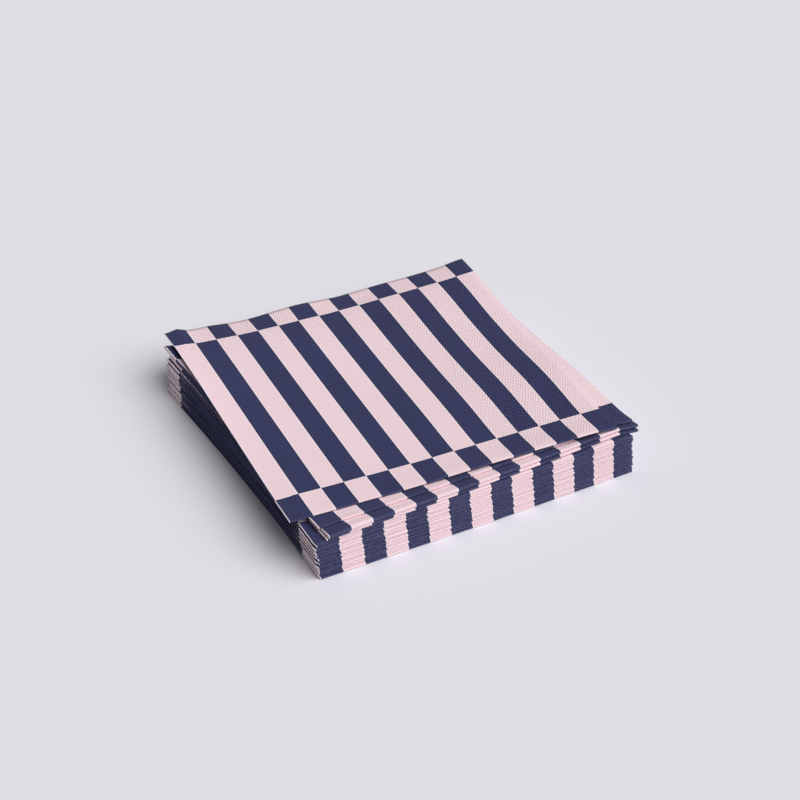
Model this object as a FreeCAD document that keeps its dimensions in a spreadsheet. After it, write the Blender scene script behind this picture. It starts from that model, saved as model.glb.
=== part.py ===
"""Stack of twenty paper napkins, each one square sheet of tissue folded twice.

A sheet is folded in half at its left side, and the doubled sheet is folded in half again at its
front. That gives four layers: two folded edges at the left, one rounded ridge at the front, and
four raw edges at the back and at the right. Most napkins lie squared up, and the top four have
slid and turned. Lengths are in millimetres, +Z is up and the front of the stack faces -Y.
"""
import FreeCAD, Part
import Sketcher
import math
import os
from collections import namedtuple
from enum import IntEnum

# Driving dimensions, with the lengths in millimetres and the turns in degrees about +Z
DIMENSIONS = {
    "sheet_side": 330,       # side of the open square sheet
    "tissue": 0.27,          # thickness of the embossed three-ply tissue
    "layer_gap": 0.035,      # air between two layers that lie on each other
    "squared_count": 16,     # napkins that lie squared up
    "squared_across": -0.8,  # the lowest napkin's middle, to the right of the stack's own
    "squared_back": -0.4,    # and to the back
    "lean_across": 0.3,      # how much further to the right the highest squared napkin lies
    "lean_back": 0.8,        # and to the back
    "lean_turn": -0.4,       # and how far it is turned
    "belly_across": -0.8,    # how far the squared napkins have slid where they slid the most
    "belly_height": 0.72,    # how high up that is, as a share of the squared napkins
    "belly_reach": 0.22,     # and how soon it fades, as a share too
    "stray_across": 0.3,     # the most that a squared napkin lies off its place in that row
    "stray_back": 0.1,
    "stray_turn": 0.1,
    "first_across": 2.1,     # first loose napkin above the squared ones: its middle, to the right
    "first_back": 1.3,       # and to the back
    "first_turn": 0.8,
    "second_across": 1.9,
    "second_back": 1.9,
    "second_turn": 1.5,
    "third_across": 2.6,
    "third_back": 7.2,
    "third_turn": 0.1,
    "top_across": -0.6,
    "top_back": 10.0,
    "top_turn": -4.4,
}
LOOSE_NAPKINS = ("first", "second", "third", "top")
LAYER_COUNT = 4

# Formulas of one napkin. A layer's distance from the plane that a fold closes on is half a pitch
# for the inner layer and one and a half for the outer one, and a half circle of that radius takes
# up the part of the sheet that does not lie flat.
LAYER_PITCH = "(Sizes.tissue + Sizes.layer_gap)"
FOLD_RADIUS = f"(({LAYER_PITCH} + Sizes.tissue) / 2)"
FLAT_WIDTH = f"(Sizes.sheet_side / 2 - pi / 4 * {LAYER_PITCH})"
INNER_LEAF = f"(Sizes.sheet_side / 2 - pi / 4 * {LAYER_PITCH})"
OUTER_LEAF = f"(Sizes.sheet_side / 2 - 3 * pi / 4 * {LAYER_PITCH})"

# Step between two napkins' strays, so that no two in a row lie alike
GOLDEN_ANGLE = math.pi * (3 - math.sqrt(5))
TURN_PHASE = 2 * math.pi / 3
BACK_PHASE = 4 * math.pi / 3

# One folded napkin's worked-out sizes: the pitch of its layers, the flat length of a layer between
# a fold and a raw edge, the radius of a left fold, and half the napkin's height, which is also the
# radius of the ridge at its front
Folded = namedtuple("Folded", "tissue pitch flat fold_radius half_height")

UP = FreeCAD.Vector(0, 0, 1)


class Spot(IntEnum):
    """The points of a sketch element, by the numbers that constraints use for them."""
    START = 1
    END = 2
    CENTRE = 3


VERTICAL_AXIS = -2
ORIGIN = (-1, Spot.START)


def make_sizes(document):
    """Write the driving dimensions into a spreadsheet, each with its name as an alias."""
    sheet = document.addObject("Spreadsheet::Sheet", "Sizes")
    for row, (name, value) in enumerate(DIMENSIONS.items(), start=1):
        sheet.set(f"A{row}", name)
        sheet.set(f"B{row}", str(value))
        sheet.setAlias(f"B{row}", name)
    document.recompute()
    return sheet


def folded_sizes(sizes):
    """Work out a folded napkin's sizes, for the sketches' first drawing and for its place."""
    pitch = sizes.tissue + sizes.layer_gap
    return Folded(
        tissue=sizes.tissue,
        pitch=pitch,
        flat=sizes.sheet_side / 2 - math.pi / 4 * pitch,
        fold_radius=(pitch + sizes.tissue) / 2,
        half_height=1.5 * pitch + sizes.tissue / 2,
    )


def origin_feature(body, role):
    """Return one of the body's own origin planes or axes by its role."""
    return next(item for item in body.Origin.OriginFeatures if item.Role == role)


def new_sketch(body, name, outline):
    """Start a sketch on the body's upright XZ plane and close its outline end to start."""
    sketch = body.newObject("Sketcher::SketchObject", name)
    sketch.AttachmentSupport = [(origin_feature(body, "XZ_Plane"), "")]
    sketch.MapMode = "FlatFace"
    sketch.addGeometry(outline, False)
    return sketch


def line(start, end):
    """Return a sketch line between two points given as (across, up)."""
    return Part.LineSegment(FreeCAD.Vector(*start, 0), FreeCAD.Vector(*end, 0))


def constrain(sketch, kind, *references):
    """Add a geometric constraint between elements of the sketch."""
    sketch.addConstraint(Sketcher.Constraint(kind, *references))


def dimension(sketch, name, kind, references, value, expression):
    """Add a named dimension to the sketch and bind it to the sizes."""
    index = sketch.addConstraint(Sketcher.Constraint(kind, *references, value))
    sketch.renameConstraint(index, name)
    sketch.setExpression(f"Constraints.{name}", expression)


def doubled_sheet_sketch(body, name, folded, rounded):
    """Draw the section of the doubled sheet: two layers, closed by the fold at the left.

    The fold's centre is on the vertical axis, one pitch above the plane of the second fold, and
    its inside is the sharp crease. Its outside is a half circle where the fold runs free, and
    square where the second fold pinches it.
    """
    flat, radius = folded.flat, folded.fold_radius
    top, bottom = folded.pitch + radius, folded.pitch - radius
    slot_top, slot_bottom = top - folded.tissue, bottom + folded.tissue
    if rounded:
        left = 0
        circle = Part.Circle(FreeCAD.Vector(0, folded.pitch, 0), UP, radius)
        fold_outline = Part.ArcOfCircle(circle, math.pi / 2, 3 * math.pi / 2)
    else:
        left = -radius
        fold_outline = line((left, top), (left, bottom))
    outline = [
        line((flat, top), (left, top)),
        fold_outline,
        line((left, bottom), (flat, bottom)),
        line((flat, bottom), (flat, slot_bottom)),
        line((flat, slot_bottom), (0, slot_bottom)),
        line((0, slot_bottom), (0, slot_top)),
        line((0, slot_top), (flat, slot_top)),
        line((flat, slot_top), (flat, top)),
    ]
    face_top, fold, face_bottom, edge_inner, slot_low, crease, slot_high, edge_outer = range(8)
    sketch = new_sketch(body, name, outline)
    for before, after in ((face_top, fold), (fold, face_bottom)):
        constrain(sketch, "Tangent" if rounded else "Coincident", before, Spot.END, after, Spot.START)
    for before, after in ((face_bottom, edge_inner), (edge_inner, slot_low), (slot_low, crease),
                          (crease, slot_high), (slot_high, edge_outer), (edge_outer, face_top)):
        constrain(sketch, "Coincident", before, Spot.END, after, Spot.START)
    for level in (face_top, face_bottom, slot_low, slot_high):
        constrain(sketch, "Horizontal", level)
    for upright in (edge_inner, crease, edge_outer):
        constrain(sketch, "Vertical", upright)
    constrain(sketch, "PointOnObject", crease, Spot.START, VERTICAL_AXIS)
    constrain(sketch, "Vertical", edge_inner, Spot.END, edge_outer, Spot.START)
    if rounded:
        constrain(sketch, "PointOnObject", fold, Spot.CENTRE, VERTICAL_AXIS)
        dimension(sketch, "fold_radius", "Radius", (fold,), radius, FOLD_RADIUS)
    else:
        constrain(sketch, "Vertical", fold)
        dimension(sketch, "fold_reach", "DistanceX", (fold, Spot.START, *ORIGIN), radius, FOLD_RADIUS)
        dimension(sketch, "fold_height", "DistanceY", (fold, Spot.END, fold, Spot.START), 2 * radius,
                  f"2 * {FOLD_RADIUS}")
    dimension(sketch, "height", "DistanceY", (*ORIGIN, face_bottom, Spot.END), bottom,
              "Sizes.layer_gap / 2")
    dimension(sketch, "width", "DistanceX", (*ORIGIN, face_bottom, Spot.END), flat, FLAT_WIDTH)
    for label, edge in (("inner_edge", edge_inner), ("outer_edge", edge_outer)):
        dimension(sketch, label, "DistanceY", (edge, Spot.START, edge, Spot.END), folded.tissue,
                  "Sizes.tissue")
    return sketch


def inner_layer_sketch(body, name, folded):
    """Draw the section of the inner layer alone, from the crease to the raw edge."""
    flat = folded.flat
    bottom = (folded.pitch - folded.tissue) / 2
    top = bottom + folded.tissue
    outline = [
        line((0, bottom), (flat, bottom)),
        line((flat, bottom), (flat, top)),
        line((flat, top), (0, top)),
        line((0, top), (0, bottom)),
    ]
    low, edge, high, crease = range(4)
    sketch = new_sketch(body, name, outline)
    for before, after in ((low, edge), (edge, high), (high, crease), (crease, low)):
        constrain(sketch, "Coincident", before, Spot.END, after, Spot.START)
    for level in (low, high):
        constrain(sketch, "Horizontal", level)
    for upright in (edge, crease):
        constrain(sketch, "Vertical", upright)
    constrain(sketch, "PointOnObject", crease, Spot.START, VERTICAL_AXIS)
    dimension(sketch, "height", "DistanceY", (*ORIGIN, low, Spot.START), bottom, "Sizes.layer_gap / 2")
    dimension(sketch, "width", "DistanceX", (low, Spot.START, low, Spot.END), flat, FLAT_WIDTH)
    dimension(sketch, "edge", "DistanceY", (edge, Spot.START, edge, Spot.END), folded.tissue,
              "Sizes.tissue")
    return sketch


def pad_to_back(body, name, sketch, length):
    """Extend a section from the second fold to the raw edge at the back."""
    pad = body.newObject("PartDesign::Pad", name)
    pad.Profile = sketch
    pad.Reversed = True
    pad.setExpression("Length", length)
    return pad


def make_napkin(document, name, folded):
    """Build one folded napkin, with the second fold's axis on its own X axis.

    The doubled sheet's section is extended to the back as the upper leaf, turned half a turn
    about the X axis as the rounded ridge at the front, and mirrored downwards as the lower leaf.
    The inner layer reaches further back, because the outer one goes the long way round the fold.
    """
    body = document.addObject("PartDesign::Body", name)
    body.Label = name

    section = doubled_sheet_sketch(body, f"{name}_section", folded, rounded=True)
    outer_leaf = pad_to_back(body, f"{name}_upper_leaf", section, OUTER_LEAF)
    inner_section = inner_layer_sketch(body, f"{name}_inner_layer", folded)
    inner_leaf = pad_to_back(body, f"{name}_inner_leaf", inner_section, INNER_LEAF)
    document.recompute()

    ridge = body.newObject("PartDesign::Revolution", f"{name}_front_fold")
    ridge.Profile = doubled_sheet_sketch(body, f"{name}_fold_section", folded, rounded=False)
    ridge.ReferenceAxis = (origin_feature(body, "X_Axis"), [""])
    ridge.Angle = 180
    document.recompute()

    lower_leaf = body.newObject("PartDesign::Mirrored", f"{name}_lower_leaf")
    lower_leaf.Originals = [outer_leaf, inner_leaf]
    lower_leaf.MirrorPlane = (origin_feature(body, "XY_Plane"), [""])
    body.Tip = lower_leaf
    return body


def napkin_places(sizes):
    """List each napkin's place, from the bottom up, as (across, back, turn in degrees)."""
    places = []
    for index in range(int(sizes.squared_count)):
        step = index * GOLDEN_ANGLE
        share = index / sizes.squared_count
        slid = math.exp(-(((share - sizes.belly_height) / sizes.belly_reach) ** 2))
        across = sizes.squared_across + sizes.lean_across * share + sizes.belly_across * slid
        back = sizes.squared_back + sizes.lean_back * share
        places.append((
            across + sizes.stray_across * math.sin(step),
            back + sizes.stray_back * math.sin(step + BACK_PHASE),
            sizes.lean_turn * share + sizes.stray_turn * math.sin(step + TURN_PHASE),
        ))
    for napkin in LOOSE_NAPKINS:
        places.append(tuple(getattr(sizes, f"{napkin}_{way}") for way in ("across", "back", "turn")))
    return places


def place_napkin(body, level, place, folded):
    """Lay a napkin on the ones below it, shifted and turned about its own middle."""
    across, back, turn = place
    middle = FreeCAD.Vector(
        (folded.flat - folded.fold_radius) / 2, (folded.flat - folded.half_height) / 2, 0
    )
    height = folded.half_height + level * LAYER_COUNT * folded.pitch
    rotation = FreeCAD.Rotation(UP, turn)
    position = FreeCAD.Vector(across, back, height) - rotation.multVec(middle)
    body.Placement = FreeCAD.Placement(position, rotation)


def centre_stack(napkins):
    """Move the whole stack so that the middle of its underside is the origin."""
    extent = FreeCAD.BoundBox()
    for body in napkins:
        extent.add(body.Shape.optimalBoundingBox(False, False))
    shift = FreeCAD.Vector(-extent.Center.x, -extent.Center.y, -extent.ZMin)
    for body in napkins:
        body.Placement.Base = body.Placement.Base + shift


def check_napkin(body):
    """Stop if a feature of the napkin failed or if its shape is not one valid solid."""
    for item in [body, *body.Group]:
        if "Invalid" in item.State or "Error" in item.State:
            raise RuntimeError(f"{item.Name} failed: {item.State}")
    shape = body.Shape
    if shape.isNull() or not shape.isValid() or len(shape.Solids) != 1:
        raise RuntimeError(f"{body.Label} is not one valid solid")


def main():
    """Build the stack, check every napkin and write one STEP file for each."""
    os.makedirs("parts", exist_ok=True)
    document = FreeCAD.newDocument("NapkinStack")
    sizes = make_sizes(document)
    folded = folded_sizes(sizes)
    napkins = []
    for level, place in enumerate(napkin_places(sizes)):
        body = make_napkin(document, f"napkin_{level + 1:02d}", folded)
        place_napkin(body, level, place, folded)
        napkins.append(body)
    document.recompute()
    centre_stack(napkins)
    document.recompute()
    for body in napkins:
        check_napkin(body)
    for body in napkins:
        body.Shape.exportStep(f"parts/{body.Label}.step")
    print(f"{len(napkins)} napkins, {napkins[0].Shape.Volume:.1f} cubic millimetres each")


main()
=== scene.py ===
"""A stack of twenty printed paper napkins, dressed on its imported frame.

Each napkin is one square sheet of soft tissue, folded in four: the left side has two folded
edges, the front has the one rounded main fold, and the back and the right side are raw edges.
Sixteen napkins lie squared up. Four loose ones on top have slid and turned, and the uppermost
one curls and waves as tissue does when nothing presses on it.

Lengths are in metres, written as millimetres times MM, and angles are in degrees.
"""

import logging
import math
from dataclasses import dataclass
from enum import Enum

import bpy
import numpy as np
from mathutils import Matrix, Vector


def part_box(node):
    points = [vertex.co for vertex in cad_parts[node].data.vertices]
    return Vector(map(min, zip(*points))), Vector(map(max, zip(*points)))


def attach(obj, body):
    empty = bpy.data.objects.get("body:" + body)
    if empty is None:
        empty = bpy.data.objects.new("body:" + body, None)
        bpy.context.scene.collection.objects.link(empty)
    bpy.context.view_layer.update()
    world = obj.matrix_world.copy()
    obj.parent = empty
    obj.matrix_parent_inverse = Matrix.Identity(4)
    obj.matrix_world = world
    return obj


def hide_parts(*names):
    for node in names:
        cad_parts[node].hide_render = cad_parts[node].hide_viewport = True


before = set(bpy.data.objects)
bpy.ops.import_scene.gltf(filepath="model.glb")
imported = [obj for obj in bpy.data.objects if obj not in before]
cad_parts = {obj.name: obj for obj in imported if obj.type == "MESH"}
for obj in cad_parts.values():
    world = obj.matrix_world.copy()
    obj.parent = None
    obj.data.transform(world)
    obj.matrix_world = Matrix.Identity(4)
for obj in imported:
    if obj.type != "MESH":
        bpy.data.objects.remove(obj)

LOG = logging.getLogger("napkin_stack")
MM = 0.001
PRINT_MAP = "open_sheet"

Array = np.ndarray
Colour = tuple[float, float, float]


class Face(Enum):
    """The two faces of a sheet, by the side of the tissue's middle that they lie on."""

    PRINTED = 1
    PLAIN = -1


class Lie(Enum):
    """How a napkin lies in the stack."""

    SQUARED = "squared up"
    LOOSE = "loose"


def ease(value: Array, start: float, end: float) -> Array:
    """A smooth step, 3 t squared less 2 t cubed, with t from 0 at start to 1 at end."""
    t = np.clip((value - start) / (end - start), 0.0, 1.0)
    return t * t * (3.0 - 2.0 * t)


def bell(value: Array, middle: float, reach: float) -> Array:
    """A bell: e to the power of minus the square of the distance from the middle over the reach."""
    return np.exp(-(((value - middle) / reach) ** 2))


def ramp(value: Array, start: float, end: float) -> Array:
    """A straight rise from 0 at start, which passes 1 at end and goes on."""
    return np.maximum(0.0, (value - start) / (end - start))


def soft_max(first: Array, second: Array, blend: float) -> Array:
    """The larger of two heights, rounded where they cross, and never less than either.

    Formula: half of the sum, plus half of the root of the squared difference plus blend squared.
    """
    return 0.5 * (first + second + np.sqrt((first - second) ** 2 + blend**2))


def graded(length: float, first: float, growth: float, largest: float) -> Array:
    """Places along a length as shares of it, close together at its start.

    Args:
        length: the length that is divided.
        first: the first step.
        growth: how many times longer each step is than the one before.
        largest: the step at which they stop growing.

    Returns:
        The shares from just past 0 up to 1, each step being first times growth to its number,
        but no more than the largest, and all scaled to end at 1.
    """
    growing = math.ceil(math.log(largest / first) / math.log(growth))
    steps = first * growth ** np.arange(growing)
    rest = math.ceil((length - steps.sum()) / largest)
    ends = np.cumsum(np.concatenate([steps, np.full(rest, largest)]))
    return ends / ends[-1]


@dataclass(frozen=True)
class FoldedSheet:
    """A square sheet folded in four, as a grid of points carried through its two folds.

    Along the open sheet, u runs across from the left fold and v runs back from the main fold.
    The grid is finer beside the folds than on the flat.
    """

    side: float = 330 * MM
    tissue: float = 0.27 * MM
    layer_gap: float = 0.035 * MM
    left_fold_steps: int = 8
    main_fold_steps: int = 10
    first_step: float = 0.5 * MM
    step_growth: float = 1.45
    largest_step: float = 4.6 * MM

    @property
    def pitch(self) -> float:
        """Distance from the middle of one layer to the next."""
        return self.tissue + self.layer_gap

    @property
    def left_fold(self) -> float:
        """Length of sheet in each half of the left fold, a quarter circle of half the pitch."""
        return math.pi * self.pitch / 4

    @property
    def folded_side(self) -> float:
        """How far the flat layers reach from the left fold."""
        return self.side / 2 - self.left_fold

    @property
    def thickness(self) -> float:
        """Four layers and the three gaps between them."""
        return 3 * self.pitch + self.tissue

    @property
    def nose(self) -> float:
        """How far the main fold stands out past its middle line."""
        return self.thickness / 2

    def columns(self) -> Array:
        """The places across the open sheet: raw edge, left fold, raw edge."""
        shares = graded(self.folded_side, self.first_step, self.step_growth, self.largest_step)
        flat = self.left_fold + self.folded_side * shares
        fold = self.left_fold * np.linspace(-1.0, 1.0, self.left_fold_steps + 1)
        return np.concatenate([-flat[::-1], fold, flat])

    def rows(self) -> tuple[Array, Array]:
        """The grid's lines along the open sheet.

        Returns:
            The bend, which is the angle round the main fold in radians, and the run, which is
            the share of the flat stretch beyond it, negative on the lower leaf.
        """
        flat = graded(self.folded_side, self.first_step, self.step_growth, self.largest_step)
        bend = np.linspace(-math.pi / 2, math.pi / 2, self.main_fold_steps + 1)
        still = np.zeros_like(bend)
        quarter = np.full_like(flat, math.pi / 2)
        return (
            np.concatenate([-quarter, bend, quarter]),
            np.concatenate([-flat[::-1], still, flat]),
        )

    def surface(self, face: Face) -> tuple[Array, Array, Array, Array, Array]:
        """One face of the folded sheet, lying flat.

        The left fold: within it, x is minus r cos a and the height is r sin a, where a is 2 u
        over the pitch and r is half the pitch plus or minus half the tissue. Beyond it, x is
        the length past the fold and the height is r. The main fold carries that height, plus
        one pitch, round the line y = 0: with b the bend and w the distance from that line, y is
        minus w cos b and z is w sin b, and the flat stretch then runs straight back.

        Args:
            face: the printed or the plain face.

        Returns:
            u and v on the open sheet and the points' x, y and z, all as grids of one shape.
        """
        u = self.columns()[:, None]
        bend, run = (line[None, :] for line in self.rows())
        radius = self.pitch / 2 + face.value * self.tissue / 2
        angle = np.clip(2 * u / self.pitch, -math.pi / 2, math.pi / 2)
        past_fold = np.maximum(np.abs(u) - self.left_fold, 0.0)
        x = past_fold - radius * np.cos(angle)
        reach = self.pitch + radius * np.sin(angle)
        middle_reach = self.pitch + self.pitch / 2 * np.sin(angle)
        flat = self.side / 2 - math.pi / 2 * middle_reach
        v = middle_reach * bend + run * flat
        y = np.abs(run) * flat - reach * np.cos(bend)
        z = reach * np.sin(bend)
        whole = np.ones_like(v)
        return u * whole, v, x * whole, y, z

    @staticmethod
    def quads(columns: int, rows: int) -> tuple[Array, Array]:
        """The faces of the closed shell: printed side, plain side and the rim that joins them.

        Args:
            columns: the number of grid points across.
            rows: the number of grid points along.

        Returns:
            The quads as an array of four point numbers each, all facing outwards, and for each
            of them 0 on the printed side, 1 on the plain side and 2 on the rim.
        """
        printed = np.arange(columns * rows).reshape(columns, rows)
        plain = printed + columns * rows
        a, b, c, d = printed[:-1, :-1], printed[1:, :-1], printed[1:, 1:], printed[:-1, 1:]
        top = np.stack([a, b, c, d], -1).reshape(-1, 4)
        a, b, c, d = plain[:-1, :-1], plain[:-1, 1:], plain[1:, 1:], plain[1:, :-1]
        under = np.stack([a, b, c, d], -1).reshape(-1, 4)
        border = [
            (printed[0], plain[0]),
            (printed[-1, ::-1], plain[-1, ::-1]),
            (printed[::-1, 0], plain[::-1, 0]),
            (printed[:, -1], plain[:, -1]),
        ]
        rim = [np.stack([p[:-1], p[1:], q[1:], q[:-1]], -1) for p, q in border]
        faces = np.concatenate([top, under, *rim])
        kind = np.full(len(faces), 2)
        kind[: len(top)] = 0
        kind[len(top) : 2 * len(top)] = 1
        return faces, kind


@dataclass(frozen=True)
class Place:
    """Where a napkin's CAD solid lies: its folded corner, its turn and the height of its middle."""

    corner: Array
    turn: float
    middle: float

    @classmethod
    def of(cls, node: str, sheet: FoldedSheet) -> "Place":
        """Read the place from the node's corners, which the raw right side has at its two ends."""
        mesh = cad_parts[node].data
        points = np.empty(len(mesh.vertices) * 3, np.float32)
        mesh.vertices.foreach_get("co", points)
        points = points.reshape(-1, 3).astype(float)
        front = points[np.argmax(points[:, 0] - points[:, 1])]
        back = points[np.argmax(points[:, 0] + points[:, 1])]
        turn = math.atan2(front[0] - back[0], back[1] - front[1])
        low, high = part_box(node)
        local = np.array([sheet.folded_side, -sheet.nose])
        corner = front[:2] - cls._turned(turn) @ local
        return cls(corner, turn, (low.z + high.z) / 2)

    @staticmethod
    def _turned(turn: float) -> Array:
        """The matrix that turns a plan by an angle in radians."""
        return np.array([[math.cos(turn), -math.sin(turn)], [math.sin(turn), math.cos(turn)]])

    def lay(self, x: Array, y: Array) -> tuple[Array, Array]:
        """Carry a napkin's own plan to the stack's."""
        c, s = math.cos(self.turn), math.sin(self.turn)
        return self.corner[0] + c * x - s * y, self.corner[1] + s * x + c * y

    def own(self, x: Array, y: Array) -> tuple[Array, Array]:
        """Carry the stack's plan to the napkin's own."""
        c, s = math.cos(self.turn), math.sin(self.turn)
        dx, dy = x - self.corner[0], y - self.corner[1]
        return c * dx + s * dy, c * dy - s * dx


@dataclass(frozen=True)
class SoftWaves:
    """Small smooth unevenness that runs through the stack.

    Formula: height times the mean of several sines, each with its own direction and phase.
    """

    height: float = 0.07 * MM
    levels: float = 4.5 * MM
    plan: float = 60 * MM
    count: int = 7
    seed: int = 11

    def at(self, x: Array, y: Array, z: Array) -> Array:
        """The unevenness at each point."""
        draw = np.random.default_rng(self.seed)
        total = np.zeros(np.broadcast(x, y, z).shape)
        for _ in range(self.count):
            heading, phase = draw.uniform(0, 2 * math.pi, 2)
            plan = self.plan * draw.uniform(0.6, 1.6)
            level = self.levels * draw.uniform(0.6, 1.6)
            along = (x * math.cos(heading) + y * math.sin(heading)) / plan
            total += np.sin(2 * math.pi * (along + z / level) + phase)
        return self.height * total / math.sqrt(self.count)


@dataclass(frozen=True)
class Settling:
    """How a pile of soft tissue packs down.

    The folds keep their thickness, so the front and left sides stand at their full height, and
    the middle sinks by a share of its height above the floor. To the right the layers lie
    looser, so the pile swells, and the last few millimetres before the raw edge thin out.
    """

    corner: tuple[float, float]
    side: float
    sink: float = 0.056
    front_reach: float = 8 * MM
    left_reach: float = 5 * MM
    swelling: float = 0.068
    swelling_start: float = 65 * MM
    edge_sink: float = 0.035
    edge_depth: float = 6 * MM
    back_sink: float = 0.042
    back_depth: float = 20 * MM
    back_start: float = 12 * MM
    nose_swell: float = 0.035
    nose_reach: float = 9 * MM
    corner_swell: float = 0.03
    corner_reach: float = 14 * MM
    waves: SoftWaves = SoftWaves()
    wave_start: float = 6 * MM

    def level(self, x: Array, y: Array, z: Array) -> Array:
        """The settled height of points that lie at height z in a flat pile.

        Formula: z times one less the sink, which grows from the folds as one less e to the
        power of minus the distance over the reach, and less the sink of the raw edges, and
        more the swelling, plus the waves, which fade to the floor. The left back corner, where
        the folds end, swells too, and so do the main folds at the right.
        """
        across = np.maximum(x - self.corner[0], 0.0)
        back = np.maximum(y - self.corner[1], 0.0)
        inside = (1 - np.exp(-across / self.left_reach)) * (1 - np.exp(-back / self.front_reach))
        raw = self.edge_sink * ease(across, self.side - self.edge_depth, self.side)
        raw_back = self.back_sink * ease(back, self.side - self.back_depth, self.side)
        raw_back = raw_back * ease(across, 0.0, self.back_start)
        swollen = self.swelling * ease(across, self.swelling_start, self.side)
        at_corner = bell(across, 0.0, self.corner_reach) * ease(back, 0.5 * self.side, self.side)
        swollen = swollen + self.corner_swell * at_corner
        at_nose = bell(back, 0.0, self.nose_reach) * ease(across, self.swelling_start, self.side)
        swollen = swollen + self.nose_swell * at_nose
        sunk = z * (1 - self.sink * inside - raw - raw_back + swollen)
        return sunk + self.waves.at(x, y, z) * ease(z, 0.0, self.wave_start)


@dataclass(frozen=True)
class TopShape:
    """The lie of the uppermost napkin's upper face, above the floor, in its own plan.

    x runs across from the left fold and y runs back from the main fold. The left half lies
    level, the right half rises, with two swells and a valley between them that deepen to the
    right. The main fold is puffed up, and more so from the middle on. The left fold curls up
    towards the back. The part past the stack's back edge droops and ripples, its left end
    arches, its right corner is lifted, and the front right corner hangs down.
    """

    level: float = 22.6 * MM
    puff: float = 0.45 * MM
    puff_growth: float = 0.008
    puff_reach: float = 9 * MM
    front_lift: float = 0.75 * MM
    front_lift_reach: float = 19 * MM
    front_lift_start: float = 48 * MM
    front_lift_end: float = 88 * MM
    rise_start: float = 77 * MM
    rise_slope: float = 0.021
    front_swell: float = 2.1 * MM
    front_swell_start: float = 66 * MM
    front_swell_middle: float = 49 * MM
    back_swell: float = 2.4 * MM
    back_swell_start: float = 82 * MM
    back_swell_middle: float = 142 * MM
    swell_reach: float = 28.5 * MM
    full_width: float = 154 * MM
    curl: float = 2.7 * MM
    curl_reach: float = 15 * MM
    curl_start: float = 25 * MM
    curl_end: float = 115 * MM
    curl_kept: float = 0.85
    droop: float = 0.85 * MM
    droop_start: float = 144 * MM
    ripple: float = 0.9 * MM
    ripple_length: float = 61 * MM
    ripple_low: float = 41 * MM
    ripple_in: tuple[float, float] = (12 * MM, 34 * MM)
    ripple_out: tuple[float, float] = (85 * MM, 125 * MM)
    right_corner: float = 1.2 * MM
    right_corner_reach: float = 9 * MM
    back_corner: float = 2.1 * MM
    back_corner_reach: float = 13 * MM
    arch: float = 1.7 * MM
    arch_middle: float = 6.5 * MM
    arch_reach: float = 3.4 * MM

    def swell(self, x: Array, y: Array) -> Array:
        """The rise of the right half: a slope, plus a bell along y for each of the swells."""
        front = self.front_swell * ramp(x, self.front_swell_start, self.full_width)
        back = self.back_swell * ramp(x, self.back_swell_start, self.full_width)
        return (
            self.rise_slope * np.maximum(x - self.rise_start, 0.0)
            + front * bell(y, self.front_swell_middle, self.swell_reach)
            + back * bell(y, self.back_swell_middle, self.swell_reach)
        )

    def height(self, x: Array, y: Array, side: float) -> Array:
        """The upper face's height: the level, plus swell, puff, curl and corners."""
        back = np.maximum(y, 0.0)
        across = np.maximum(x, 0.0)
        over = ease(y, self.droop_start, side)
        puff = (self.puff + self.puff_growth * across) * bell(back, 0.0, self.puff_reach)
        middle_on = ease(across, self.front_lift_start, self.front_lift_end)
        puff = puff + self.front_lift * middle_on * bell(back, 0.0, self.front_lift_reach)
        curl = self.curl * np.exp(-across / self.curl_reach) * (1 - (1 - self.curl_kept) * over)
        curl = curl * np.clip((y - self.curl_start) / (self.curl_end - self.curl_start), 0, 1)
        ripple = self.ripple * np.cos(2 * math.pi * (x - self.ripple_low) / self.ripple_length)
        ripple = ripple * ease(across, *self.ripple_in) * (1 - ease(across, *self.ripple_out))
        to_right = side - np.minimum(x, side)
        right = self.right_corner * bell(np.hypot(to_right, back), 0.0, self.right_corner_reach)
        to_back = side - np.minimum(y, side)
        lifted = self.back_corner * bell(np.hypot(to_right, to_back), 0.0, self.back_corner_reach)
        arched = self.arch * bell(across, self.arch_middle, self.arch_reach) * over
        rest = self.level + self.swell(x, back) + puff + curl + arched
        return rest - (self.droop + ripple) * over - right + lifted


@dataclass(frozen=True)
class LooseLay:
    """How one loose napkin lies on what is under it.

    above: how far its upper face lies above the squared napkins.
    share: its share of the uppermost napkin's swell.
    thickness: its thickness, away from its puffed main fold.
    puff: how much thicker it is at the main fold, at its left and at its right end.
    thinning: the share of that puff which the corner beside the left fold lacks.
    left_puff: how much thicker it is at the back end of its left fold.
    corner: how far the corner between the main fold and the raw edge would hang down.
    """

    above: float
    share: float
    thickness: float = 0.95 * MM
    puff: tuple[float, float] = (0.2 * MM, 0.2 * MM)
    puff_reach: float = 6 * MM
    thinning: float = 0.45
    left_puff: float = 0.0
    left_reach: float = 8 * MM
    corner: float = 1.4 * MM
    corner_reach: float = 6 * MM


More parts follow.
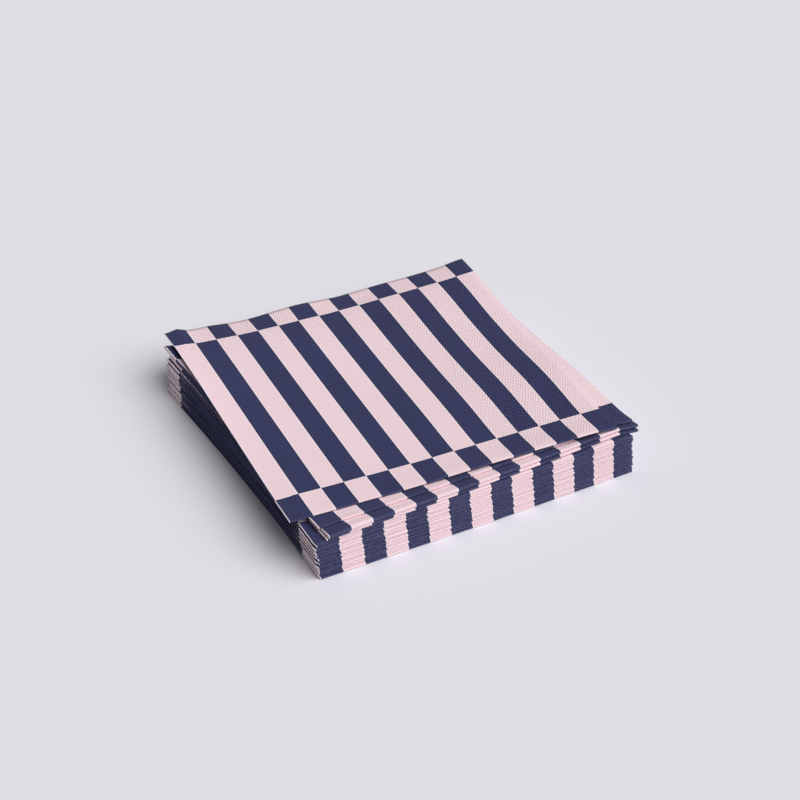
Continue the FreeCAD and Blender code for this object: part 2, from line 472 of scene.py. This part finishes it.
@dataclass
class LooseNapkins:
    """The heights of the loose napkins, each worked out from the one below."""

    places: list[Place]
    settling: Settling
    sheet: FoldedSheet
    squared_height: float
    top: TopShape = TopShape()
    lays: tuple[LooseLay, ...] = (
        LooseLay(1.0 * MM, 0.12, puff=(0.25 * MM, 0.25 * MM), corner=0.8 * MM),
        LooseLay(2.0 * MM, 0.27, puff=(1.5 * MM, 0.6 * MM), corner=0.6 * MM),
        LooseLay(3.0 * MM, 0.5, puff=(0.5 * MM, 0.6 * MM), left_puff=0.8 * MM, corner=0.3 * MM),
        LooseLay(4.0 * MM, 1.0, puff=(0.1 * MM, 0.2 * MM)),
    )
    clearance: float = 0.04 * MM
    blend: float = 0.12 * MM
    hang_slope: float = 0.35

    def thickness(self, number: int, x: Array, y: Array) -> Array:
        """The thickness of a loose napkin: even, plus the puffs of its two folds.

        The main fold's puff is a bell over the distance from it, a little less at the corner.
        """
        lay = self.lays[number]
        across, back = self.places[number].own(x, y)
        share = np.clip(across / self.sheet.folded_side, 0, 1)
        puff = lay.puff[0] + (lay.puff[1] - lay.puff[0]) * share
        puff = puff * (1 - lay.thinning * bell(np.maximum(across, 0.0), 0.0, lay.puff_reach))
        puff = puff * bell(np.maximum(back, 0.0), 0.0, lay.puff_reach)
        side = self.sheet.folded_side
        open_end = bell(np.maximum(across, 0.0), 0.0, lay.left_reach) * ease(back, 0.5 * side, side)
        return lay.thickness + puff + lay.left_puff * open_end

    def outside(self, number: int, x: Array, y: Array) -> Array:
        """How far points lie outside a loose napkin's outline, or the squared ones' for -1."""
        side = self.sheet.folded_side
        if number < 0:
            across, back = x - self.settling.corner[0], y - self.settling.corner[1]
        else:
            across, back = self.places[number].own(x, y)
        past_x = np.maximum(np.maximum(-across, across - side), 0.0)
        past_y = np.maximum(np.maximum(-back, back - side), 0.0)
        return np.hypot(past_x, past_y)

    def upper_face(self, number: int, x: Array, y: Array) -> Array:
        """The height of a loose napkin's upper face, or of the squared ones' for -1.

        Each lies at its own height above the squared napkins, and the uppermost one has its
        own shape, but none lies lower than the napkin under it allows. Past the edge of that
        napkin it may hang, at the hang slope.
        """
        bed = self.settling.level(x, y, np.full_like(x, self.squared_height))
        if number < 0:
            return bed
        across, back = self.places[-1].own(x, y)
        if number == len(self.lays) - 1:
            wanted = self.top.height(across, back, self.sheet.folded_side)
        else:
            lay = self.lays[number]
            mine, behind = self.places[number].own(x, y)
            puffed = self.thickness(number, x, y) - lay.thickness
            to_right = np.maximum(self.sheet.folded_side - mine, 0.0)
            corner = bell(np.hypot(to_right, np.maximum(behind, 0.0)), 0.0, lay.corner_reach)
            swell = lay.share * self.top.swell(across, back)
            wanted = bed + lay.above + swell + puffed - lay.corner * corner
        below = self.upper_face(number - 1, x, y)
        below = below - self.hang_slope * self.outside(number - 1, x, y)
        carried = below + self.thickness(number, x, y) + self.clearance
        return soft_max(wanted, carried, self.blend)


@dataclass(frozen=True)
class StripePrint:
    """The print on the outer side: stripes that change colour with a cell at each end.

    column: the width of a stripe.
    fold_row: how far the cells beside the main fold reach back from it.
    edge_row: how far the cells at the raw edges reach in from them.
    shift: where the first stripe starts, right of the left fold's middle.
    """

    column: float = 11 * MM
    fold_row: float = 17.35 * MM
    edge_row: float = 14.16 * MM
    shift: float = 0.36 * MM


class Graph:
    """A material's node tree, with short calls for the nodes that the finishes use."""

    def __init__(self, name: str) -> None:
        """Start an empty material.

        Args:
            name: the material's name.
        """
        self.material = bpy.data.materials.new(name)
        self.material.use_nodes = True
        self.tree = self.material.node_tree
        self.tree.nodes.clear()

    def node(self, kind: str, values: dict | None = None, **settings) -> bpy.types.Node:
        """Add a node.

        Args:
            kind: the node's type.
            values: for each input, by name or number, a number, a colour or an output.
            settings: the node's own properties.

        Returns:
            The node.
        """
        made = self.tree.nodes.new(kind)
        for key, value in settings.items():
            setattr(made, key, value)
        for key, value in (values or {}).items():
            if isinstance(value, bpy.types.NodeSocket):
                self.tree.links.new(value, made.inputs[key])
            else:
                made.inputs[key].default_value = value
        return made

    def math(self, operation: str, *values) -> bpy.types.NodeSocket:
        """Add a Math node and return its result."""
        return self.node("ShaderNodeMath", dict(enumerate(values)), operation=operation).outputs[0]

    def step(self, value, start: float, end: float) -> bpy.types.NodeSocket:
        """A smooth step of a value, from 0 at start to 1 at end."""
        made = self.node(
            "ShaderNodeMapRange",
            {"Value": value, "From Min": start, "From Max": end},
            interpolation_type="SMOOTHSTEP",
        )
        return made.outputs["Result"]

    def mix(self, share, first, second) -> bpy.types.NodeSocket:
        """Blend two colours: the first for a share of 0, the second for 1."""
        made = self.node("ShaderNodeMix", data_type="RGBA")
        for number, value in ((0, share), (6, first), (7, second)):
            if isinstance(value, bpy.types.NodeSocket):
                self.tree.links.new(value, made.inputs[number])
            elif number:
                made.inputs[number].default_value = (*value, 1.0)
            else:
                made.inputs[number].default_value = value
        return made.outputs[2]

    def noise(self, place, scale: float, detail: float = 2.0) -> bpy.types.NodeSocket:
        """A noise from 0 to 1 with so many waves to the metre."""
        made = self.node("ShaderNodeTexNoise", {"Vector": place, "Scale": scale, "Detail": detail})
        return made.outputs["Fac"]

    def object_place(self) -> bpy.types.NodeSocket:
        """The point's place in the object."""
        return self.node("ShaderNodeTexCoord").outputs["Object"]

    def open_sheet(self, side: float) -> tuple[bpy.types.NodeSocket, bpy.types.NodeSocket]:
        """u and v on the open sheet in millimetres, from the piece's own map."""
        place = self.node("ShaderNodeUVMap", uv_map=PRINT_MAP).outputs[0]
        parts = self.node("ShaderNodeSeparateXYZ", {0: place})
        return tuple(
            self.math("MULTIPLY", self.math("SUBTRACT", parts.outputs[n], 0.5), side / MM)
            for n in (0, 1)
        )

    def finish(self, colour, height, roughness: float, sheen: float) -> bpy.types.Material:
        """End the tree in one matt shader.

        Args:
            colour: the base colour's output.
            height: the relief in millimetres, as an output.
            roughness: the shader's roughness.
            sheen: the shader's sheen.

        Returns:
            The material.
        """
        bump = self.node("ShaderNodeBump", {"Height": height, "Strength": 1.0, "Distance": MM})
        shader = self.node(
            "ShaderNodeBsdfPrincipled",
            {
                "Base Color": colour,
                "Roughness": roughness,
                "Specular IOR Level": 0.12,
                "Sheen Weight": sheen,
                "Sheen Roughness": 0.6,
                "Normal": bump.outputs[0],
            },
        )
        self.node("ShaderNodeOutputMaterial", {"Surface": shader.outputs[0]})
        return self.material


@dataclass(frozen=True)
class Emboss:
    """The rolled-in relief of the tissue: staggered short dashes along the sheet's diagonal.

    across, along: the half pitch of the dashes, in millimetres, over and along their line.
    depth: the dashes' height in millimetres.
    grain: the height of the tissue's own fine grain in millimetres.
    wander: how far, in millimetres, a dash may lie off its place, over and along its line.
    level: the mean of the dashes' figure, which is taken off it.
    patchy: the part of the relief's share that comes and goes in patches.
    to_right, to_back: where the relief grows to its full share, in the stack's plan.
    """

    across: float = 0.66
    along: float = 2.4
    depth: float = 0.20
    grain: float = 0.012
    wander: tuple[float, float] = (1.4, 5.0)
    level: float = 0.2
    patchy: float = 0.25
    to_right: tuple[float, float] = (0.0, 45 * MM)
    to_back: tuple[float, float] = (35 * MM, 75 * MM)

    def dents(self, graph: Graph, u, v) -> bpy.types.NodeSocket:
        """How deep a point is pressed in, from a little below 0 between the dashes up to 1.

        Formula: the product of a sine over the diagonal and a sine along it, where positive,
        less its mean level, times a share that is patchy, and higher to the right and at the
        back, where nothing has pressed the relief flat.
        """
        place = graph.object_place()
        drift = graph.noise(place, 210.0)
        over = graph.math("MULTIPLY_ADD", drift, self.wander[0], graph.math("SUBTRACT", u, v))
        along = graph.math("MULTIPLY_ADD", drift, self.wander[1], graph.math("ADD", u, v))
        root = math.sqrt(2)
        over = graph.math("SINE", graph.math("MULTIPLY", over, math.pi / (self.across * root)))
        along = graph.math("SINE", graph.math("MULTIPLY", along, math.pi / (self.along * root)))
        dash = graph.math("MAXIMUM", graph.math("MULTIPLY", over, along), 0.0)
        patch = graph.step(graph.noise(place, 26.0), 0.38, 0.66)
        parts = graph.node("ShaderNodeSeparateXYZ", {0: place}).outputs
        to_right = graph.step(parts[0], *self.to_right)
        to_back = graph.step(parts[1], *self.to_back)
        kept = graph.math("MULTIPLY", graph.math("MAXIMUM", to_right, to_back), 1 - self.patchy)
        share = graph.math("MULTIPLY_ADD", patch, self.patchy, kept)
        return graph.math("MULTIPLY", graph.math("SUBTRACT", dash, self.level), share)

    def height(self, graph: Graph, dents) -> bpy.types.NodeSocket:
        """The relief in millimetres: the dents, pressed in, and the grain."""
        grain = graph.math("MULTIPLY", graph.noise(graph.object_place(), 2300.0, 3.0), self.grain)
        return graph.math("MULTIPLY_ADD", dents, -self.depth, grain)


@dataclass(frozen=True)
class PrintedTissue:
    """The outer side: matt tissue printed in pale pink and navy.

    The pink ink keeps a paler rim beside the navy, and the navy a darker one, as wet ink that
    is squeezed to the edge of its field leaves. On the crest of a fold the navy is lighter in
    speckles: partly ink worn thin there, and partly a painted highlight of the light that the
    crest catches. Where the relief is pressed in, both inks are darker, which is painted shade
    in the dents.

    rim, bleed: the rims' width and how ragged the fields' edges are, in millimetres.
    crisp: how near the left fold, in millimetres, those edges are clean.
    smooth: how near either fold the embossing is pressed flat.
    """

    side: float
    stripes: StripePrint = StripePrint()
    emboss: Emboss = Emboss()
    pink: Colour = (0.880, 0.675, 0.722)
    pale_rim: Colour = (0.950, 0.850, 0.920)
    navy: Colour = (0.0325, 0.0355, 0.102)
    dark_rim: Colour = (0.018, 0.015, 0.036)
    # The lighter navy of the fold crests: worn ink and a painted highlight.
    worn_and_highlit_navy: Colour = (0.135, 0.135, 0.235)
    rim: float = 0.55
    dark_rim_share: float = 0.75
    pale_rim_share: float = 0.95
    # How much of that lighter navy the crests get, wear and painted highlight together.
    worn_and_highlit_share: float = 0.6
    bleed: float = 0.04
    crisp: tuple[float, float] = (0.5, 1.4)
    smooth: tuple[float, float] = (0.6, 1.8)

    def field(self, graph: Graph, u, v) -> tuple[bpy.types.NodeSocket, bpy.types.NodeSocket]:
        """Which ink a point has, and how near the edge of its field it is.

        Formula: the column is 1 in every other stripe, the row is 1 beside the main fold and at
        the raw edges, and the ink is pink where just one of them is 1.

        Args:
            graph: the material's nodes.
            u: the place across the open sheet in millimetres.
            v: the place along it in millimetres.

        Returns:
            1 for pink and 0 for navy, and the distance to the nearest edge in millimetres.
        """
        column = self.stripes.column / MM
        fold_row = self.stripes.fold_row / MM
        edge_row = (self.side / 2 - self.stripes.edge_row) / MM
        from_start = graph.math("SUBTRACT", u, self.stripes.shift / MM)
        turns = graph.math("FRACT", graph.math("DIVIDE", from_start, 2 * column))
        stripe = graph.math("LESS_THAN", turns, 0.5)
        back = graph.math("ABSOLUTE", v)
        row = graph.math(
            "MAXIMUM",
            graph.math("LESS_THAN", back, fold_row),
            graph.math("GREATER_THAN", back, edge_row),
        )
        pink = graph.math("ABSOLUTE", graph.math("SUBTRACT", stripe, row))
        near_column = graph.math("PINGPONG", from_start, column / 2)
        near_row = graph.math(
            "MINIMUM",
            graph.math("ABSOLUTE", graph.math("SUBTRACT", back, fold_row)),
            graph.math("ABSOLUTE", graph.math("SUBTRACT", back, edge_row)),
        )
        return pink, graph.math("MINIMUM", near_column, near_row)

    def material(self) -> bpy.types.Material:
        """Build the finish."""
        graph = Graph("printed_tissue")
        u, v = graph.open_sheet(self.side)
        place = graph.object_place()
        flat = graph.step(graph.math("ABSOLUTE", u), *self.crisp)
        speckle = graph.noise(place, 1500.0, 3.0)
        ragged = graph.math("MULTIPLY", graph.math("SUBTRACT", speckle, 0.5), 2 * self.bleed)
        ragged = graph.math("MULTIPLY", ragged, flat)
        pink, edge = self.field(graph, graph.math("ADD", u, ragged), graph.math("ADD", v, ragged))
        rim = graph.math("SUBTRACT", 1.0, graph.step(edge, 0.3 * self.rim, self.rim))
        crest = graph.math("MINIMUM", graph.math("ABSOLUTE", u), graph.math("ABSOLUTE", v))
        off_folds = graph.step(crest, *self.smooth)
        dents = graph.math("MULTIPLY", self.emboss.dents(graph, u, v), off_folds)
        mottle = graph.noise(place, 900.0, 4.0)
        cloud = graph.noise(place, 45.0, 2.0)
        tone = graph.math("MULTIPLY_ADD", graph.math("ADD", mottle, cloud), 0.30, 0.70)
        light_tone = graph.math("MULTIPLY_ADD", graph.math("ADD", mottle, cloud), 0.05, 0.95)
        # Painted highlight with wear: the navy is lighter in speckles on the fold crests, partly
        # ink worn thin and partly the light that a crest catches.
        crest_wear_and_highlight = graph.math("MULTIPLY", graph.step(crest, 0.7, 0.15), graph.step(speckle, 0.3, 0.7))
        dark_share = graph.math("MULTIPLY", rim, self.dark_rim_share)
        navy = graph.mix(dark_share, self.navy, self.dark_rim)
        navy = graph.mix(graph.math("MULTIPLY", crest_wear_and_highlight, self.worn_and_highlit_share), navy, self.worn_and_highlit_navy)
        # Painted shade in the dents: where the relief is pressed in, the navy and the pink are
        # darker, and a little lighter between the dents.
        tone = graph.math("MULTIPLY", tone, graph.math("MULTIPLY_ADD", dents, -1.25, 1.07))
        pressed = graph.math("MULTIPLY_ADD", dents, -0.24, 1.01)
        light_tone = graph.math("MULTIPLY", light_tone, pressed)
        navy = graph.node("ShaderNodeVectorMath", {0: navy, "Scale": tone}, operation="SCALE")
        pale_share = graph.math("MULTIPLY", rim, self.pale_rim_share)
        rosy = graph.mix(pale_share, self.pink, self.pale_rim)
        rosy = graph.node("ShaderNodeVectorMath", {0: rosy, "Scale": light_tone}, operation="SCALE")
        colour = graph.mix(pink, navy.outputs[0], rosy.outputs[0])
        return graph.finish(colour, self.emboss.height(graph, dents), 0.9, 0.06)


@dataclass(frozen=True)
class PlainTissue:
    """The inner side and the cut edges: plain pale tissue, with the print as a faint ghost."""

    side: float
    printed: PrintedTissue
    paper: Colour = (0.87, 0.80, 0.825)
    ghost: Colour = (0.70, 0.66, 0.72)
    ghost_share: float = 0.6

    def material(self) -> bpy.types.Material:
        """Build the finish."""
        graph = Graph("plain_tissue")
        u, v = graph.open_sheet(self.side)
        place = graph.object_place()
        pink, _ = self.printed.field(graph, u, v)
        fibres = graph.noise(place, 1700.0, 4.0)
        share = graph.math("MULTIPLY", graph.math("SUBTRACT", 1.0, pink), self.ghost_share)
        colour = graph.mix(share, self.paper, self.ghost)
        tone = graph.math("MULTIPLY_ADD", fibres, 0.16, 0.92)
        colour = graph.node("ShaderNodeVectorMath", {0: colour, "Scale": tone}, operation="SCALE")
        emboss = self.printed.emboss
        height = emboss.height(graph, emboss.dents(graph, u, v))
        return graph.finish(colour.outputs[0], height, 0.95, 0.05)


@dataclass
class Napkin:
    """One napkin: a sheet folded in four, laid where its CAD solid lies.

    node: the name of its CAD solid.
    number: its place in the stack, from 1 at the bottom.
    lie: whether it is squared up or loose.
    """

    node: str
    number: int
    lie: Lie
    sheet: FoldedSheet
    place: Place
    registration: float = 0.1 * MM
    shift: float = 0.0
    fan: float = 0.0022
    fan_start: float = 30 * MM
    sway: float = 0.08 * MM
    sway_length: float = 75 * MM
    sway_reach: float = 5 * MM
    splay: tuple[float, float] = (0.0, 0.0)
    splay_under: float = 0.2
    splay_across: float = 9 * MM
    splay_back: float = 55 * MM
    lean: tuple[float, float] = (0.0, 0.0)
    lean_reach: float = 40 * MM
    bow: float = 0.0
    bow_reach: float = 40 * MM
    tuck: float = 0.0
    tuck_reach: float = 12 * MM
    lap: float = 0.45 * MM
    lap_fades: tuple[float, float] = (0.5 * MM, 3 * MM)
    lap_from: tuple[float, float] = (20 * MM, 30 * MM)
    lap_to: tuple[float, float] = (138 * MM, 148 * MM)

    def slack(self) -> dict[str, float]:
        """The small differences between one napkin and the next, drawn with its own seed.

        Returns:
            across and along: how far the print is off its register.
            leaf: how far the lower leaf fans out, over its length.
            layer: how far the inner layers fan out, over their length.
            splay: how far the upper leaf's folded corner slips out to the left.
            phase, second: where the waviness of the main fold starts.
        """
        draw = np.random.default_rng(400 + self.number)
        return {
            "across": self.shift + self.registration * draw.uniform(-1, 1),
            "along": self.registration * draw.uniform(-1, 1),
            "leaf": self.fan * draw.uniform(-1, 1),
            "layer": self.fan * draw.uniform(-1, 1),
            "splay": self.splay[self.number % 2] * draw.uniform(0.75, 1.25),
            "phase": draw.uniform(0, 2 * math.pi),
            "second": draw.uniform(0, 2 * math.pi),
        }

    def plan(self, face: Face, slack: dict[str, float]) -> dict[str, Array]:
        """One face of the folded sheet with its small unevenness, in the napkin's own plan.

        The lower leaf and the inner layers are sheared a little, from nothing at their fold,
        and the main fold sways in and out as the sum of two sines, fading towards the back. The
        upper leaf's folded corner slips out to the left. Behind it the left side leans in, as
        one arch of a sine plus a straight slope, and the main fold bows out as one arch. Each of
        these fades away from its own side as a power of e. The raw side is tucked in.
        """
        u, v, x, y, z = self.sheet.surface(face)
        behind, beside = np.maximum(y, 0.0), np.maximum(x, 0.0)
        turns = 2 * math.pi * x / self.sway_length
        sway = np.sin(turns + slack["phase"]) + 0.5 * np.sin(2.6 * turns + slack["second"])
        moved_x = x + np.where(v < 0, slack["leaf"], 0.0) * behind
        out = np.exp(-beside / self.splay_across) * bell(behind, 0.0, self.splay_back)
        out = out * (self.splay_under + (1 - self.splay_under) * ease(v, -MM, MM))
        side = self.sheet.folded_side
        depth = np.clip(behind / side, 0.0, 1.0)
        in_by = self.lean[0] * np.sin(math.pi * depth) + self.lean[1] * depth
        moved_x = moved_x - slack["splay"] * out
        moved_x = moved_x + in_by * np.exp(-beside / self.lean_reach)
        moved_x = moved_x - self.tuck * ease(beside, side - self.tuck_reach, side)
        fanned = np.where(u < 0, slack["layer"], 0.0) * ease(behind, 0.0, self.fan_start)
        moved_y = y + fanned * beside
        moved_y = moved_y + self.sway * sway * np.exp(-behind / self.sway_reach)
        arch = np.sin(math.pi * np.clip(x / side, 0.0, 1.0)) * np.exp(-behind / self.bow_reach)
        moved_y = moved_y - self.bow * arch
        return {"u": u, "v": v, "x": moved_x, "y": moved_y, "z": z}

    def print_off(self, u: Array, v: Array, slack: dict[str, float]) -> tuple[Array, Array]:
        """How far the print lies off the sheet's own grid, across and along.

        It is off its register as a whole, and between the two rows of cells the dark stripe
        laps a little further over the left fold.
        """
        along = np.abs(v)
        lapped = (1 - ease(np.abs(u), *self.lap_fades)) * ease(along, *self.lap_from)
        lapped = self.lap * lapped * (1 - ease(along, *self.lap_to))
        return slack["across"] + lapped, np.full_like(lapped, slack["along"])

    def build(self, raise_point, materials: list[bpy.types.Material]) -> bpy.types.Object:
        """Make the napkin's mesh and dress it.

        Args:
            raise_point: gives the settled height for x, y and the height above the napkin's
                middle, all in the stack's plan.
            materials: the printed and the plain finish.

        Returns:
            The piece, at the origin, with its place in its mesh.
        """
        slack = self.slack()
        points, places = [], []
        for face in Face:
            grid = self.plan(face, slack)
            x, y = self.place.lay(grid["x"], grid["y"])
            z = raise_point(x, y, grid["z"])
            points.append(np.stack([x, y, z], -1).reshape(-1, 3))
            off_across, off_along = self.print_off(grid["u"], grid["v"], slack)
            across = 0.5 + (grid["u"] - off_across) / self.sheet.side
            along = 0.5 + (grid["v"] - off_along) / self.sheet.side
            places.append(np.stack([across, along], -1).reshape(-1, 2))
        faces, kind = self.sheet.quads(*grid["u"].shape)
        mesh = bpy.data.meshes.new(f"{self.node}_sheet")
        mesh.from_pydata(np.concatenate(points), [], faces.tolist())
        layer = mesh.uv_layers.new(name=PRINT_MAP)
        layer.data.foreach_set("uv", np.concatenate(places)[faces.ravel()].ravel())
        mesh.polygons.foreach_set("material_index", np.minimum(kind, 1).astype(np.int32))
        mesh.polygons.foreach_set("use_smooth", kind < 2)
        for material in materials:
            mesh.materials.append(material)
        mesh.update()
        piece = bpy.data.objects.new(f"{self.node}_sheet", mesh)
        bpy.context.scene.collection.objects.link(piece)
        return piece


@dataclass
class NapkinStack:
    """The whole stack, from its CAD nodes in the order in which they lie."""

    loose_count: int = 4
    splay: tuple[float, float] = (1.3 * MM, 0.2 * MM)
    top_shift: float = -0.1 * MM
    top_tuck: float = 0.8 * MM
    arched_lean: float = 1.6 * MM
    back_lean: tuple[float, float] = (0.8 * MM, 1.3 * MM)
    loose_lean: tuple[float, ...] = (0.8 * MM, 1.9 * MM, -0.5 * MM, 0.0)
    bow: float = 0.8 * MM
    sheet: FoldedSheet = FoldedSheet()
    loose_sheet: FoldedSheet = FoldedSheet(
        left_fold_steps=10, main_fold_steps=14, first_step=0.35 * MM, largest_step=2.6 * MM
    )

    def __post_init__(self) -> None:
        """Find the nodes, where each lies and where the squared ones' corner is."""
        self.nodes = sorted(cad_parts)
        self.places = [Place.of(node, self.sheet) for node in self.nodes]
        self.squared = len(self.nodes) - self.loose_count
        corner = np.mean([place.corner for place in self.places[: self.squared]], axis=0)
        self.settling = Settling((corner[0], corner[1]), self.sheet.folded_side)
        squared_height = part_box(self.nodes[self.squared - 1])[1].z
        self.loose = LooseNapkins(
            self.places[self.squared :], self.settling, self.sheet, squared_height
        )

    @property
    def aim(self) -> Vector:
        """The place on the floor under the middle of the uppermost napkin's box."""
        low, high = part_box(self.nodes[-1])
        return Vector(((low.x + high.x) / 2, (low.y + high.y) / 2, 0.0))

    def raiser(self, index: int):
        """The function that gives a napkin's points their settled height.

        Args:
            index: the napkin's place in the list of nodes.

        Returns:
            A function of x, y and the height above the napkin's middle.
        """
        middle = self.places[index].middle

        def settled(x: Array, y: Array, z: Array) -> Array:
            """A squared napkin's points sink with the pile."""
            return self.settling.level(x, y, middle + z)

        def laid(x: Array, y: Array, z: Array) -> Array:
            """A loose napkin's points lie under its upper face, in its own thickness."""
            number = index - self.squared
            thickness = self.loose.thickness(number, x, y)
            upper = self.loose.upper_face(number, x, y)
            return upper + thickness * (z / self.sheet.thickness - 0.5)

        return settled if index < self.squared else laid

    def slip(self, napkin: Napkin) -> None:
        """Let a napkin's folds slip as much as its place in the stack allows.

        The squared napkins splay at their folded corner, every other one further, and bow at
        the main fold, most at the bottom. Their left sides and the lower loose ones' lean in.
        """
        share = (napkin.number - 1) / self.squared
        if napkin.lie is Lie.SQUARED:
            even, odd = self.splay
            grown = 0.5 + 0.5 * share
            napkin.splay = (even * grown, odd * grown)
            napkin.bow = self.bow * (1 - share)
            low, high = self.back_lean
            napkin.lean = (self.arched_lean, low + (high - low) * share)
        else:
            napkin.lean = (0.0, self.loose_lean[napkin.number - self.squared - 1])
        if napkin.number == len(self.nodes):
            napkin.registration = 0.0
            napkin.shift = self.top_shift
            napkin.tuck = self.top_tuck
            napkin.lap = 0.0

    def build(self) -> list[bpy.types.Object]:
        """Make every napkin, from the bottom up, each resting on the one below.

        Returns:
            The pieces.
        """
        printed = PrintedTissue(self.sheet.side)
        materials = [printed.material(), PlainTissue(self.sheet.side, printed).material()]
        pieces: list[bpy.types.Object] = []
        for index, node in enumerate(self.nodes):
            lie = Lie.SQUARED if index < self.squared else Lie.LOOSE
            sheet = self.sheet if lie is Lie.SQUARED else self.loose_sheet
            napkin = Napkin(node, index + 1, lie, sheet, self.places[index])
            self.slip(napkin)
            piece = napkin.build(self.raiser(index), materials)
            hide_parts(node)
            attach(piece, "root")
            LOG.info("%s, %s, %d faces", piece.name, lie.value, len(piece.data.polygons))
            pieces.append(piece)
        return pieces


@dataclass
class Studio:
    """The pale floor, the soft light and the camera at the photograph's viewpoint.

    aim: the place on the floor under the uppermost napkin's middle, which the camera is placed
        from.
    """

    aim: Vector
    floor_size: float = 6.0
    floor_drop: float = 0.02 * MM
    floor_colour: Colour = (0.803, 0.796, 0.853)
    backdrop: Colour = (0.723, 0.716, 0.768)
    ambient: float = 0.20
    sun_strength: float = 2.92
    sun_width: float = 64.0
    sun_from: tuple[float, float, float] = (0.36, -0.46, 0.81)
    camera_place: tuple[float, float, float] = (-398.85 * MM, -730.4 * MM, 586.4 * MM)
    camera_yaw: float = 29.18
    camera_pitch: float = 34.60
    camera_roll: float = 0.275
    lens: float = 94.03
    sensor: float = 36.0

    def lay_floor(self) -> bpy.types.Object:
        """Make the floor, a square just under the stack."""
        half = self.floor_size / 2
        corners = [(-half, -half), (half, -half), (half, half), (-half, half)]
        mesh = bpy.data.meshes.new("studio_floor")
        mesh.from_pydata([(x, y, -self.floor_drop) for x, y in corners], [], [(0, 1, 2, 3)])
        graph = Graph("studio_floor")
        shader = graph.node("ShaderNodeBsdfDiffuse", {"Color": (*self.floor_colour, 1.0)})
        graph.node("ShaderNodeOutputMaterial", {"Surface": shader.outputs[0]})
        mesh.materials.append(graph.material)
        floor = bpy.data.objects.new("studio_floor", mesh)
        bpy.context.scene.collection.objects.link(floor)
        return floor

    def light(self) -> None:
        """Set the even light from all round and the wide soft light from the front right."""
        world = bpy.data.worlds.new("studio")
        bpy.context.scene.world = world
        world.use_nodes = True
        tree = world.node_tree
        tree.nodes.clear()
        path = tree.nodes.new("ShaderNodeLightPath")
        seen = tree.nodes.new("ShaderNodeBackground")
        seen.inputs["Color"].default_value = (*self.backdrop, 1.0)
        lit = tree.nodes.new("ShaderNodeBackground")
        lit.inputs["Strength"].default_value = self.ambient
        mix = tree.nodes.new("ShaderNodeMixShader")
        end = tree.nodes.new("ShaderNodeOutputWorld")
        tree.links.new(path.outputs["Is Camera Ray"], mix.inputs[0])
        tree.links.new(lit.outputs[0], mix.inputs[1])
        tree.links.new(seen.outputs[0], mix.inputs[2])
        tree.links.new(mix.outputs[0], end.inputs["Surface"])
        sun = bpy.data.lights.new("soft_key", "SUN")
        sun.energy = self.sun_strength
        sun.angle = math.radians(self.sun_width)
        lamp = bpy.data.objects.new("soft_key", sun)
        lamp.rotation_euler = Vector(self.sun_from).to_track_quat("Z", "Y").to_euler()
        bpy.context.scene.collection.objects.link(lamp)

    def place_camera(self) -> None:
        """Put the camera where the photograph was taken from."""
        yaw, pitch = math.radians(self.camera_yaw), math.radians(self.camera_pitch)
        forward = Vector(
            (math.sin(yaw) * math.cos(pitch), math.cos(yaw) * math.cos(pitch), -math.sin(pitch))
        )
        level = Vector((math.cos(yaw), -math.sin(yaw), 0.0))
        upright = level.cross(forward)
        c, s = math.cos(math.radians(self.camera_roll)), math.sin(math.radians(self.camera_roll))
        right = level * c + upright * s
        up = upright * c - level * s
        turn = Matrix((right, up, -forward)).transposed().to_4x4()
        data = bpy.data.cameras.new("photograph_view")
        data.lens = self.lens
        data.sensor_width = self.sensor
        data.clip_start, data.clip_end = 0.01, 50.0
        camera = bpy.data.objects.new("photograph_view", data)
        place = Matrix.Translation(self.aim + Vector(self.camera_place))
        camera.matrix_world = place @ turn
        bpy.context.scene.collection.objects.link(camera)
        bpy.context.scene.camera = camera

    def set_up(self) -> None:
        """Lay the floor, set the lights, place the camera and keep the colours as measured."""
        self.lay_floor()
        self.light()
        self.place_camera()
        bpy.context.scene.view_settings.view_transform = "Standard"


def main() -> None:
    """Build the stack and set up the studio."""
    logging.basicConfig(level=logging.INFO, format="%(name)s: %(message)s")
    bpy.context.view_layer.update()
    stack = NapkinStack()
    pieces = stack.build()
    Studio(stack.aim).set_up()


if __name__ == "__main__":
    main()
